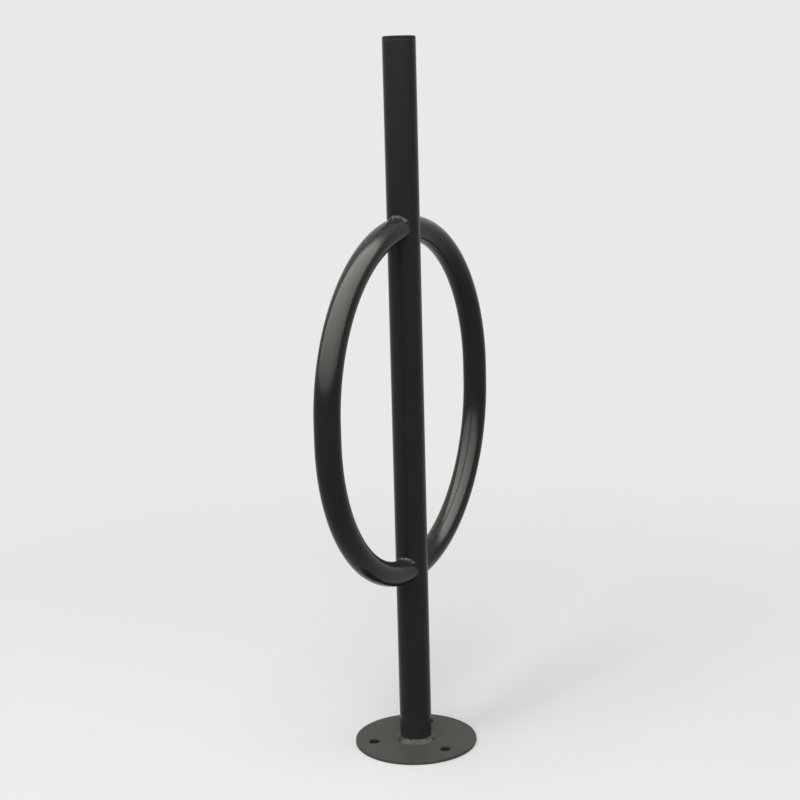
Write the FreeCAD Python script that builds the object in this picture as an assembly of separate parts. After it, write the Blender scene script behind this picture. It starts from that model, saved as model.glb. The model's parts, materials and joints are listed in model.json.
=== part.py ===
import FreeCAD, Part
import math
import os

# Bollard-style bike rack in welded steel: a capped post on a round base plate,
# with a bent half hoop of smaller tube welded to each side of the post.
# Millimetres, +Z up. The origin is the centre of the plate's underside.
# Both hoops lie in the XZ plane, the left one towards -X.

# Post: round tube
POST_DIAMETER = 41.3
POST_WALL = 3.0
POST_STUB = 229.0  # post above the centreline of the hoops' upper ends

# Post cap: disc welded on the tube's end in a V groove that is ground flush
CAP_GROOVE_DEPTH = 1.2  # bevel of the cap and of the post's end
CAP_LAND = 0.6  # plain rim between the cap's bevel and its rounded edge
CAP_EDGE_RADIUS = 2.2

# Hoops: tube bent to two quarter turns about the post axis, with a short upright between
HOOP_DIAMETER = 31.8
HOOP_WALL = 2.5
HOOP_BEND_RADIUS = 209.0  # to the tube's centreline
HOOP_STRAIGHT = 20.0
HOOP_FOOT_HEIGHT = 232.0  # centreline of the hoops' lower ends above the plate
COPE_GAP = 0.2  # fit-up gap between a coped hoop end and the post

# Base plate: round, with anchor holes on a circle
PLATE_DIAMETER = 158.8
PLATE_THICKNESS = 4.8
PLATE_EDGE_BREAK = 0.6
ANCHOR_HOLE_DIAMETER = 14.3
ANCHOR_CIRCLE_DIAMETER = 112.0
ANCHOR_COUNT = 3
ANCHOR_CLOCKING = 8.5  # degrees from +X to the first hole

# Weld beads
BASE_WELD_LEG = 6.5
BASE_WELD_CROWN = 0.7  # how far the bead swells past the flat between its toes
HOOP_WELD_SIZE = 3.4  # how far the bead stands out from the post and from the hoop
HOOP_WELD_TOE = 0.8  # plain strip at each toe, beside the bead's rounded face

# Sizes that follow
POST_RADIUS = POST_DIAMETER / 2
POST_BORE_RADIUS = POST_RADIUS - POST_WALL
CAP_THICKNESS = CAP_GROOVE_DEPTH + CAP_LAND + CAP_EDGE_RADIUS
HOOP_BORE_DIAMETER = HOOP_DIAMETER - 2 * HOOP_WALL
HOOP_SPAN = 2 * HOOP_BEND_RADIUS + HOOP_STRAIGHT
POST_LENGTH = HOOP_FOOT_HEIGHT + HOOP_SPAN + POST_STUB
POST_TOP = PLATE_THICKNESS + POST_LENGTH
LOWER_BEND_CENTRE = PLATE_THICKNESS + HOOP_FOOT_HEIGHT + HOOP_BEND_RADIUS
UPPER_BEND_CENTRE = LOWER_BEND_CENTRE + HOOP_STRAIGHT

# Directions
LEFT, RIGHT = -1, 1
LOWER, UPPER = -1, 1
X_AXIS = FreeCAD.Vector(1, 0, 0)
Y_AXIS = FreeCAD.Vector(0, 1, 0)
Z_AXIS = FreeCAD.Vector(0, 0, 1)

TOUCH = 1e-4  # an edge nearer than this to a skin lies on it


def on_axis(height):
    """Point of the post axis at a height."""
    return Z_AXIS * height


def half_plane_point(radius, height):
    """Point of the half plane that is turned about the post axis."""
    return X_AXIS * radius + Z_AXIS * height


def turned(edges):
    """Solid of revolution about the post axis, from the edges of a closed outline."""
    outline = Part.Face(Part.Wire(edges))
    return outline.revolve(on_axis(0), Z_AXIS, 360)


def turned_polygon(corners):
    """Solid of revolution from the corners of its outline, as (radius, height) pairs."""
    points = [half_plane_point(radius, height) for radius, height in corners]
    ends = points[1:] + points[:1]
    return turned([Part.makeLine(start, end) for start, end in zip(points, ends)])


def base_plate():
    """Round plate with broken edges and a circle of anchor holes."""
    plate_radius = PLATE_DIAMETER / 2
    plate = turned_polygon([
        (0, 0),
        (plate_radius - PLATE_EDGE_BREAK, 0),
        (plate_radius, PLATE_EDGE_BREAK),
        (plate_radius, PLATE_THICKNESS - PLATE_EDGE_BREAK),
        (plate_radius - PLATE_EDGE_BREAK, PLATE_THICKNESS),
        (0, PLATE_THICKNESS),
    ])
    for number in range(ANCHOR_COUNT):
        angle = math.radians(ANCHOR_CLOCKING + 360 * number / ANCHOR_COUNT)
        outward = X_AXIS * math.cos(angle) + Y_AXIS * math.sin(angle)
        centre = outward * (ANCHOR_CIRCLE_DIAMETER / 2)
        plate = plate.cut(Part.makeCylinder(ANCHOR_HOLE_DIAMETER / 2, PLATE_THICKNESS, centre))
    return plate


def post():
    """Tube standing on the plate, bevelled at its upper end for the cap's weld."""
    return turned_polygon([
        (POST_BORE_RADIUS, PLATE_THICKNESS),
        (POST_RADIUS, PLATE_THICKNESS),
        (POST_RADIUS, POST_TOP - CAP_GROOVE_DEPTH),
        (POST_RADIUS - CAP_GROOVE_DEPTH, POST_TOP),
        (POST_BORE_RADIUS, POST_TOP),
    ])


def post_cap():
    """Disc on the post's upper end, bevelled below for its weld and rounded above."""
    top = POST_TOP + CAP_THICKNESS
    groove_floor = half_plane_point(POST_RADIUS - CAP_GROOVE_DEPTH, POST_TOP)
    groove_lip = half_plane_point(POST_RADIUS, POST_TOP + CAP_GROOVE_DEPTH)
    shoulder = half_plane_point(POST_RADIUS, top - CAP_EDGE_RADIUS)
    rim = half_plane_point(POST_RADIUS - CAP_EDGE_RADIUS, top)
    round_centre = rim - Z_AXIS * CAP_EDGE_RADIUS
    round_middle = round_centre + (X_AXIS + Z_AXIS) * (CAP_EDGE_RADIUS * math.sqrt(0.5))
    return turned([
        Part.makeLine(on_axis(POST_TOP), groove_floor),
        Part.makeLine(groove_floor, groove_lip),
        Part.makeLine(groove_lip, shoulder),
        Part.Arc(shoulder, round_middle, rim).toShape(),
        Part.makeLine(rim, on_axis(top)),
        Part.makeLine(on_axis(top), on_axis(POST_TOP)),
    ])


def cap_weld():
    """Ring that fills the V groove between post and cap, flush with both."""
    return turned_polygon([
        (POST_RADIUS, POST_TOP - CAP_GROOVE_DEPTH),
        (POST_RADIUS, POST_TOP + CAP_GROOVE_DEPTH),
        (POST_RADIUS - CAP_GROOVE_DEPTH, POST_TOP),
    ])


def base_weld():
    """Crowned fillet bead in the corner between post and plate."""
    corner = half_plane_point(POST_RADIUS, PLATE_THICKNESS)
    plate_toe = corner + X_AXIS * BASE_WELD_LEG
    post_toe = corner + Z_AXIS * BASE_WELD_LEG
    outward = (X_AXIS + Z_AXIS) * math.sqrt(0.5)
    crown = (plate_toe + post_toe) * 0.5 + outward * BASE_WELD_CROWN
    return turned([
        Part.makeLine(corner, plate_toe),
        Part.Arc(plate_toe, crown, post_toe).toShape(),
        Part.makeLine(post_toe, corner),
    ])


def post_bar(gap):
    """Solid bar on the post axis, larger than the post by a gap all round."""
    return Part.makeCylinder(POST_RADIUS + gap, POST_LENGTH, on_axis(PLATE_THICKNESS))


def bend_centre(level):
    """Height of the centre of a hoop's lower or upper bend."""
    return UPPER_BEND_CENTRE if level == UPPER else LOWER_BEND_CENTRE


def bend_section(side, level, diameter):
    """Disc across a hoop's centreline, where a bend meets the upright."""
    middle = X_AXIS * (side * HOOP_BEND_RADIUS) + on_axis(bend_centre(level))
    return Part.Face(Part.Wire(Part.makeCircle(diameter / 2, middle, Z_AXIS)))


def bend_bar(side, level, diameter):
    """Solid bar round one bend, from the upright to the post axis."""
    section = bend_section(side, level, diameter)
    return section.revolve(on_axis(bend_centre(level)), Y_AXIS, -side * level * 90)


def hoop_bar(side, diameter):
    """Solid bar along a hoop's whole centreline."""
    upright = bend_section(side, LOWER, diameter).extrude(Z_AXIS * HOOP_STRAIGHT)
    return upright.fuse([bend_bar(side, level, diameter) for level in (LOWER, UPPER)])


def hoop(side):
    """Half hoop of tube, coped at both ends to sit round the post."""
    tube = hoop_bar(side, HOOP_DIAMETER).cut(hoop_bar(side, HOOP_BORE_DIAMETER))
    return tube.cut(post_bar(COPE_GAP))


def lies_on(edge, solid):
    """Whether the middle of an edge lies on a solid's skin."""
    middle = edge.valueAt((edge.FirstParameter + edge.LastParameter) / 2)
    return solid.Shells[0].distToShape(Part.Vertex(middle))[0] < TOUCH


def hoop_weld(side, level):
    """Bead round the saddle where a coped hoop end meets the post, with a rounded face."""
    grown_post = post_bar(HOOP_WELD_SIZE)
    grown_bend = bend_bar(side, level, HOOP_DIAMETER + 2 * HOOP_WELD_SIZE)
    bead = grown_bend.common(grown_post).cut([post_bar(0), bend_bar(side, level, HOOP_DIAMETER)])
    outer_edges = [edge for edge in bead.Edges if lies_on(edge, grown_post) and lies_on(edge, grown_bend)]
    return bead.makeFillet(HOOP_WELD_SIZE - HOOP_WELD_TOE, outer_edges)


def rack():
    """Every piece of the rack by name."""
    pieces = {
        "base_plate": base_plate(),
        "base_weld": base_weld(),
        "post": post(),
        "post_cap": post_cap(),
        "cap_weld": cap_weld(),
    }
    for side, side_name in ((LEFT, "left"), (RIGHT, "right")):
        pieces[side_name + "_hoop"] = hoop(side)
        for level, level_name in ((LOWER, "lower"), (UPPER, "upper")):
            pieces[level_name + "_" + side_name + "_weld"] = hoop_weld(side, level)
    return pieces


os.makedirs("parts", exist_ok=True)
for name, shape in rack().items():
    shape.exportStep(os.path.join("parts", name + ".step"))
    box = shape.optimalBoundingBox()
    print(
        f"{name}: {len(shape.Solids)} solid, valid {shape.isValid()}, {shape.Volume:.0f} mm3,",
        f"x {box.XMin:.1f} to {box.XMax:.1f}, z {box.ZMin:.1f} to {box.ZMax:.1f}",
    )
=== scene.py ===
"""Bollard-style bike rack in powder-coated steel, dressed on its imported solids.

Metres, +Z up. The post stands on the origin, and both hoops lie in the XZ plane.
"""
import json
import logging
import math
from dataclasses import dataclass, field
from enum import Enum
from typing import Callable, Iterable, Sequence, Union

import bmesh
import bpy
from mathutils import Matrix, Vector


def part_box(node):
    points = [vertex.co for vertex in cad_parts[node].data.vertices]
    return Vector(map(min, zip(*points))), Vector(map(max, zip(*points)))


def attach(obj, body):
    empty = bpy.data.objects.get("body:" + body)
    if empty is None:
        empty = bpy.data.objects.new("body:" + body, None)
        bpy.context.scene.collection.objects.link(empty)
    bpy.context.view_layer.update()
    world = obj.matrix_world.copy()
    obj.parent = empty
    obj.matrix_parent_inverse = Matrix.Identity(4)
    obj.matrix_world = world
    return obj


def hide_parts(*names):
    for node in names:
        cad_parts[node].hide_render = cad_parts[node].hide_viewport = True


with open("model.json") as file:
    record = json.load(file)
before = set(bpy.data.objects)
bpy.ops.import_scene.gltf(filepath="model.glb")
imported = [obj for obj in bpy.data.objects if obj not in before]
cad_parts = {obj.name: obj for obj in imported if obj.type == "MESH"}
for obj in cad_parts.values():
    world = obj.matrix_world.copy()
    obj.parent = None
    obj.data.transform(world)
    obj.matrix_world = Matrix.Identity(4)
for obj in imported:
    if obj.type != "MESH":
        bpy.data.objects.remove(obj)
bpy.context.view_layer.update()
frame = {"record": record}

BODY = "root"
IMAGE_SIDE = 800  # pixels
MILLIMETRE = 0.001
FULL_TURN = 2 * math.pi
SHARP_EDGE = math.radians(32)
LEVEL_FACE = 0.9999  # upward or downward share of a level face's normal
MERGE_DISTANCE = 1e-6  # points nearer than this become one
NOISE_MIDDLE = 0.5  # of a noise from 0 to 1
UP = Vector((0.0, 0.0, 1.0))

LOG = logging.getLogger("bike_rack")

Colour = tuple[float, float, float]
Limits = tuple[float, float]  # where a smooth step is 0 and where it is 1
Outline = list[tuple[float, float]]  # points of a turned piece, as radius and height
Socket = bpy.types.NodeSocket
Value = Union[Socket, float, str, Sequence[float], Vector]  # what an input takes


class Side(Enum):
    """Which hoop, by the sign of its X."""

    LEFT = -1
    RIGHT = 1


class Level(Enum):
    """Which end of a hoop, by the sign of its height above the ring's middle."""

    LOWER = -1
    UPPER = 1


class Slot(Enum):
    """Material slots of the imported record."""

    COAT = "powder_coat"
    BEAD = "weld_bead"


class TreeKind(Enum):
    """Kinds of node group."""

    SHADER = "ShaderNodeTree"
    GEOMETRY = "GeometryNodeTree"


class Kind(Enum):
    """Kinds of a node group's inputs and outputs."""

    VALUE = "NodeSocketFloat"
    COUNT = "NodeSocketInt"
    VECTOR = "NodeSocketVector"
    COLOUR = "NodeSocketColor"
    GEOMETRY = "NodeSocketGeometry"
    OBJECT = "NodeSocketObject"
    MATERIAL = "NodeSocketMaterial"


class Graph:
    """Short way to add and join the nodes of one tree."""

    MIX_INPUTS = (0, 6, 7)  # numbers of a colour mix's share, first colour and second colour
    MIX_RESULT = 2  # number of its mixed colour

    def __init__(self, tree: bpy.types.NodeTree) -> None:
        """Takes the shader or geometry node tree that the nodes go into."""
        self.tree = tree

    def add(self, kind: str, **settings: object) -> bpy.types.Node:
        """Adds a node.

        Args:
            kind: The node's type name.
            settings: Properties of the node, such as its operation.

        Returns:
            The new node.
        """
        node = self.tree.nodes.new(kind)
        for name, value in settings.items():
            setattr(node, name, value)
        return node

    def feed(self, target: Socket, value: Value) -> None:
        """Links a socket to an input, or sets the input's own value.

        Args:
            target: The input.
            value: A socket to link, or a plain value.
        """
        if isinstance(value, bpy.types.NodeSocket):
            self.tree.links.new(value, target)
        else:
            target.default_value = value

    def feed_all(self, targets: Iterable[Socket], values: Iterable[Value]) -> None:
        """Feeds several inputs, each with the value at the same place in order."""
        for target, value in zip(targets, values):
            self.feed(target, value)

    def node(self, kind: str, inputs: dict[str, Value], **settings: object) -> bpy.types.Node:
        """Adds a node and feeds its inputs by name.

        Args:
            kind: The node's type name.
            inputs: Values by input name.
            settings: Properties of the node.

        Returns:
            The new node.
        """
        node = self.add(kind, **settings)
        self.feed_all([node.inputs[name] for name in inputs], inputs.values())
        return node

    def call(self, kind: str, inputs: dict[str, Value], output: str, **settings: object) -> Socket:
        """Adds a node, feeds its inputs by name and gives one of its outputs, by name."""
        return self.node(kind, inputs, **settings).outputs[output]

    def group(self, tree: bpy.types.NodeTree, inputs: dict[str, Value]) -> dict[str, Socket]:
        """Places a shader group, feeds its inputs by name and gives its outputs by name."""
        node = self.node("ShaderNodeGroup", inputs, node_tree=tree)
        return {socket.name: socket for socket in node.outputs}

    def maths(self, operation: str, *values: Value, clamp: bool = False) -> Socket:
        """Adds a maths node.

        Args:
            operation: Its operation.
            values: Its operands, in order.
            clamp: Whether the result is kept from 0 to 1.

        Returns:
            The result.
        """
        node = self.add("ShaderNodeMath", operation=operation, use_clamp=clamp)
        self.feed_all(node.inputs, values)
        return node.outputs["Value"]

    def vector(self, operation: str, *values: Value, output: str = "Vector") -> Socket:
        """Adds a vector maths node.

        Args:
            operation: Its operation.
            values: Its operands, in order; SCALE takes its factor as the second.
            output: Name of the result, which is Value for a length or a dot product.

        Returns:
            The result.
        """
        node = self.add("ShaderNodeVectorMath", operation=operation)
        targets = [node.inputs[0], node.inputs["Scale"]] if operation == "SCALE" else node.inputs
        self.feed_all(targets, values)
        return node.outputs[output]

    def step(self, value: Value, start: float, end: float) -> Socket:
        """Smooth step of a value, from 0 at start to 1 at end."""
        inputs = {"Value": value, "From Min": start, "From Max": end}
        return self.call("ShaderNodeMapRange", inputs, "Result", interpolation_type="SMOOTHSTEP")

    def noise(self, place: Value, size: Value, detail: float) -> Socket:
        """Noise from 0 to 1 whose lumps have a size in metres, with a number of finer octaves."""
        inputs = {"Vector": place, "Scale": self.maths("DIVIDE", 1.0, size), "Detail": detail}
        return self.call("ShaderNodeTexNoise", inputs, "Fac")

    def mix_colour(self, share: Value, first: Value, second: Value) -> Socket:
        """Mixes two colours.

        Args:
            share: Share of the second colour.
            first: Colour at 0.
            second: Colour at 1.

        Returns:
            The mixed colour.
        """
        node = self.add("ShaderNodeMix", data_type="RGBA")
        self.feed_all([node.inputs[number] for number in self.MIX_INPUTS], (share, first, second))
        return node.outputs[self.MIX_RESULT]

    def surface(self, shader: Socket) -> None:
        """Makes a shader the surface of the material."""
        self.node("ShaderNodeOutputMaterial", {"Surface": shader})


def opaque(colour: Colour) -> tuple[float, float, float, float]:
    """Colour with full alpha, as a colour socket takes it."""
    return (*colour, 1.0)


def new_group(
    name: str, kind: TreeKind, inputs: dict[str, Kind], outputs: dict[str, Kind]
) -> tuple[Graph, dict[str, Socket]]:
    """Makes an empty node group.

    Args:
        name: The group's name.
        kind: Whether it is a shader or a geometry group.
        inputs: Kind of each input by name.
        outputs: Kind of each output by name.

    Returns:
        The group's graph and its input sockets by name.
    """
    tree = bpy.data.node_groups.new(name, kind.value)
    for in_out, sockets in (("INPUT", inputs), ("OUTPUT", outputs)):
        for socket, socket_kind in sockets.items():
            tree.interface.new_socket(socket, in_out=in_out, socket_type=socket_kind.value)
    graph = Graph(tree)
    entry = graph.add("NodeGroupInput")
    return graph, {socket: entry.outputs[socket] for socket in inputs}


def close_group(graph: Graph, outputs: dict[str, Socket]) -> bpy.types.NodeTree:
    """Links a group's results, by output name, and gives the finished tree."""
    graph.node("NodeGroupOutput", outputs)
    return graph.tree


def new_material(name: str) -> tuple[bpy.types.Material, Graph]:
    """Makes a material with nodes.

    Args:
        name: Its name.

    Returns:
        The material and its graph.
    """
    material = bpy.data.materials.new(name)
    material.use_nodes = True
    return material, Graph(material.node_tree)


class Effects:
    """Shader groups that the finishes share, each built once. Lengths are in metres."""

    GRAIN_SIZE = 0.22  # of the orange peel's fine grain, as a share of its ripples
    CLOUD_SIZE = 0.075  # of the uneven coat's wide patches
    SPECK_SIZE = 0.006
    SPECK_SHARE = 0.5  # strength of the specks beside the wide patches
    GLOSS_SHARE = 0.25  # strength of the unevenness in the roughness
    DUST_AND_SHEEN_SLOPE = (0.35, 0.95)  # upward share of a face's normal, from none to full dust and painted sheen
    DUST_AND_SHEEN_PATCH = 0.022
    DUST_AND_SHEEN_LIMITS = (0.35, 0.75)  # of the noise, from thin to thick dust and sheen
    THIN_DUST_AND_SHEEN = 0.5  # cover of thin dust and sheen
    THICK_GAIN = 0.4  # what thick dust and sheen add to that
    FLAKE_LIMITS = (0.66, 0.7)  # of the noise, across a chip's edge

    def __init__(self) -> None:
        """Builds the groups."""
        self.orange_peel = self._orange_peel()
        self.mottle = self._mottle()
        self.dust_and_sheen = self._dust_and_sheen()
        self.chips = self._chips()

    @classmethod
    def _orange_peel(cls) -> bpy.types.NodeTree:
        """Height of the coat's shallow ripples and of the fine grain on them.

        Returns:
            The group.
        """
        inputs = {"Place": Kind.VECTOR, "Size": Kind.VALUE, "Grain": Kind.VALUE}
        graph, given = new_group("orange peel", TreeKind.SHADER, inputs, {"Height": Kind.VALUE})
        ripple = graph.noise(given["Place"], given["Size"], detail=1.0)
        grain_size = graph.maths("MULTIPLY", given["Size"], cls.GRAIN_SIZE)
        grain = graph.noise(given["Place"], grain_size, detail=1.0)
        height = graph.maths("ADD", ripple, graph.maths("MULTIPLY", grain, given["Grain"]))
        return close_group(graph, {"Height": height})

    @classmethod
    def _mottle(cls) -> bpy.types.NodeTree:
        """Uneven colour and gloss of a sprayed and baked coat.

        Returns:
            The group.
        """
        inputs = {
            "Place": Kind.VECTOR, "Colour": Kind.COLOUR, "Roughness": Kind.VALUE, "Amount": Kind.VALUE,
        }
        outputs = {"Colour": Kind.COLOUR, "Roughness": Kind.VALUE}
        graph, given = new_group("uneven coat", TreeKind.SHADER, inputs, outputs)
        clouds = graph.noise(given["Place"], cls.CLOUD_SIZE, detail=3.0)
        specks = graph.noise(given["Place"], cls.SPECK_SIZE, detail=2.0)
        cloud = graph.maths("SUBTRACT", clouds, NOISE_MIDDLE)
        speck = graph.maths("SUBTRACT", specks, NOISE_MIDDLE)
        uneven = graph.maths("ADD", cloud, graph.maths("MULTIPLY", speck, cls.SPECK_SHARE))
        swing = graph.maths("MULTIPLY", uneven, given["Amount"])
        colour = graph.vector("SCALE", given["Colour"], graph.maths("ADD", 1.0, swing))
        roughness = graph.maths("MULTIPLY_ADD", swing, cls.GLOSS_SHARE, given["Roughness"])
        return close_group(graph, {"Colour": colour, "Roughness": roughness})

    @classmethod
    def _dust_and_sheen(cls) -> bpy.types.NodeTree:
        """Mask of dust that settles on faces that look up, and of painted sheen that lightens them.

        Returns:
            The group.
        """
        inputs = {"Place": Kind.VECTOR, "Amount": Kind.VALUE}
        graph, given = new_group("settled dust", TreeKind.SHADER, inputs, {"Mask": Kind.VALUE})
        normal = graph.add("ShaderNodeNewGeometry").outputs["Normal"]
        upward = graph.call("ShaderNodeSeparateXYZ", {"Vector": normal}, "Z")
        lying = graph.step(upward, *cls.DUST_AND_SHEEN_SLOPE)
        patches = graph.step(graph.noise(given["Place"], cls.DUST_AND_SHEEN_PATCH, detail=2.0), *cls.DUST_AND_SHEEN_LIMITS)
        cover = graph.maths("MULTIPLY_ADD", patches, cls.THICK_GAIN, cls.THIN_DUST_AND_SHEEN)
        mask = graph.maths("MULTIPLY", graph.maths("MULTIPLY", lying, cover), given["Amount"], clamp=True)
        return close_group(graph, {"Mask": mask})

    @classmethod
    def _chips(cls) -> bpy.types.NodeTree:
        """Mask of small chips in the coat, inside a zone that wears.

        Returns:
            The group.
        """
        inputs = {"Place": Kind.VECTOR, "Zone": Kind.VALUE, "Size": Kind.VALUE}
        graph, given = new_group("chipped coat", TreeKind.SHADER, inputs, {"Mask": Kind.VALUE})
        flakes = graph.step(graph.noise(given["Place"], given["Size"], detail=3.0), *cls.FLAKE_LIMITS)
        return close_group(graph, {"Mask": graph.maths("MULTIPLY", flakes, given["Zone"])})


@dataclass(frozen=True)
class CoatFinish:
    """Charcoal powder coat, as one kind of surface wears it. Lengths are in metres."""

    name: str
    colour: Colour = (0.0112, 0.0124, 0.0108)
    roughness: float = 0.16
    specular: float = 0.1
    peel_size: float = 0.0032
    peel_depth: float = 0.000012
    grain: float = 0.15
    mottle: float = 0.35
    # dust on faces that look up, which also paints a sheen on them
    dust_and_sheen: float = 0.12
    rim_radius: float = 0.0  # wear starts this far from the post axis; 0 for none
    seam_shade: float = 0.0  # how much darker the tube's seam is; 0 for none
    foot_dust_and_light_top: float = 0.0  # dust-coloured lightening of the foot, part dust and part painted light, thins out up to this height; 0 for none

    # colour of dust; on faces that look up and at the post's foot it also paints light
    DUST_AND_SHEEN_COLOUR = (0.13, 0.125, 0.115)
    CHIP_COLOUR = (0.11, 0.105, 0.095)
    SEAM_COLOUR = (0.0, 0.0, 0.0)
    COAT_IOR = 1.5
    DUST_ROUGHNESS = 0.3  # what full dust adds
    SEAM_ROUGHNESS = 0.7  # what the seam adds
    FOOT_DUST_AND_LIGHT_FULL = 0.010  # the foot's dust and painted light are fullest up to this height
    # how far the foot is lightened, with dust and painted light
    FOOT_DUST_AND_LIGHT_SHARE = 0.115
    RIM_BAND = 0.0004  # over which the rim's wear sets in
    RIM_SHARE = 0.26
    CHIP_SIZE = 0.0035
    LEVEL_PARTS = (1.0, 1.0, 0.0)  # keeps X and Y of a place and drops Z

    def material(self, effects: Effects) -> bpy.types.Material:
        """Builds the finish.

        Args:
            effects: The shader groups.

        Returns:
            The material.
        """
        material, graph = new_material(self.name)
        place = graph.add("ShaderNodeTexCoord").outputs["Object"]
        coat = graph.group(effects.mottle, {
            "Place": place, "Colour": opaque(self.colour),
            "Roughness": self.roughness, "Amount": self.mottle,
        })
        # dust and painted sheen: faces that look up turn lighter
        dust_and_sheen = graph.group(effects.dust_and_sheen, {"Place": place, "Amount": self.dust_and_sheen})["Mask"]
        colour = graph.mix_colour(dust_and_sheen, coat["Colour"], opaque(self.DUST_AND_SHEEN_COLOUR))
        roughness = graph.maths("MULTIPLY_ADD", dust_and_sheen, self.DUST_ROUGHNESS, coat["Roughness"])
        # painted light with some dust: the post's foot is lighter, against the plate's dark reflection in
        # it
        if self.foot_dust_and_light_top:
            colour = self._dusted_and_lit_foot(graph, place, colour)
        if self.rim_radius:
            colour = self._worn_rim(graph, effects, place, colour)
        if self.seam_shade:
            colour, roughness = self._seamed(graph, colour, roughness)

        ripples = {"Place": place, "Size": self.peel_size, "Grain": self.grain}
        peel = graph.group(effects.orange_peel, ripples)["Height"]
        relief = {"Height": peel, "Distance": self.peel_depth}
        shader = graph.tree.nodes["Principled BSDF"]
        graph.feed(shader.inputs["Base Color"], colour)
        graph.feed(shader.inputs["Roughness"], roughness)
        graph.feed(shader.inputs["Normal"], graph.call("ShaderNodeBump", relief, "Normal"))
        shader.inputs["Specular IOR Level"].default_value = self.specular
        shader.inputs["IOR"].default_value = self.COAT_IOR
        return material

    def _dusted_and_lit_foot(self, graph: Graph, place: Socket, colour: Socket) -> Socket:
        """Lightens a foot towards the dust colour: part dust, part painted light over the plate's dark
        reflection.

        Args:
            graph: The material's graph.
            place: Object coordinates.
            colour: Colour of the whole coat.

        Returns:
            The colour with the lightened foot.
        """
        height = graph.call("ShaderNodeSeparateXYZ", {"Vector": place}, "Z")
        cover = graph.step(height, self.foot_dust_and_light_top, self.FOOT_DUST_AND_LIGHT_FULL)
        share = graph.maths("MULTIPLY", cover, self.FOOT_DUST_AND_LIGHT_SHARE)
        return graph.mix_colour(share, colour, opaque(self.DUST_AND_SHEEN_COLOUR))

    def _worn_rim(self, graph: Graph, effects: Effects, place: Socket, colour: Socket) -> Socket:
        """Adds a dusty film and small chips outside the rim radius.

        Args:
            graph: The material's graph.
            effects: The shader groups.
            place: Object coordinates.
            colour: Colour of the whole coat.

        Returns:
            The colour with the wear.
        """
        level = graph.vector("MULTIPLY", place, self.LEVEL_PARTS)
        reach = graph.vector("LENGTH", level, output="Value")
        rim = graph.step(reach, self.rim_radius, self.rim_radius + self.RIM_BAND)
        film = graph.maths("MULTIPLY", rim, self.RIM_SHARE)
        colour = graph.mix_colour(film, colour, opaque(self.DUST_AND_SHEEN_COLOUR))
        chips = graph.group(effects.chips, {"Place": place, "Zone": rim, "Size": self.CHIP_SIZE})
        return graph.mix_colour(chips["Mask"], colour, opaque(self.CHIP_COLOUR))

    def _seamed(self, graph: Graph, colour: Socket, roughness: Socket) -> tuple[Socket, Socket]:
        """Adds the dull, dark line of the tube's seam.

        Args:
            graph: The material's graph.
            colour: Colour of the whole coat.
            roughness: Roughness of the whole coat.

        Returns:
            The colour and the roughness with the line.
        """
        line = graph.call("ShaderNodeAttribute", {}, "Fac", attribute_name="seam")
        shade = graph.maths("MULTIPLY", line, self.seam_shade)
        colour = graph.mix_colour(shade, colour, opaque(self.SEAM_COLOUR))
        return colour, graph.maths("MULTIPLY_ADD", line, self.SEAM_ROUGHNESS, roughness)


TUBE_COAT = CoatFinish("tube coat", seam_shade=0.6)
# its foot is lightened: dust and painted light
POST_COAT = CoatFinish("post coat", roughness=0.24, foot_dust_and_light_top=0.052)
# painted reflection in part: the cap keeps almost no gloss, and its raised colour carries the tone the
# gloss would give
CAP_COAT = CoatFinish("cap coat", colour=(0.0245, 0.0262, 0.0236), roughness=0.42, specular=0.002)
# painted reflection in part: the plate is the same coat, with its gloss lowered and its colour raised so
# that the colour carries much of its sheen
PLATE_COAT = CoatFinish(
    "plate coat", colour=(0.0449, 0.0438, 0.0401), roughness=0.45, specular=0.03, rim_radius=0.0789
)
BEAD_COAT = CoatFinish("bead coat", roughness=0.24, peel_size=0.0024, dust_and_sheen=0.06)
FOOT_BEAD_COAT = CoatFinish(
    "foot bead coat", colour=(0.0178, 0.0180, 0.0170), roughness=0.3, specular=0.078, peel_size=0.0024
)


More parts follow.
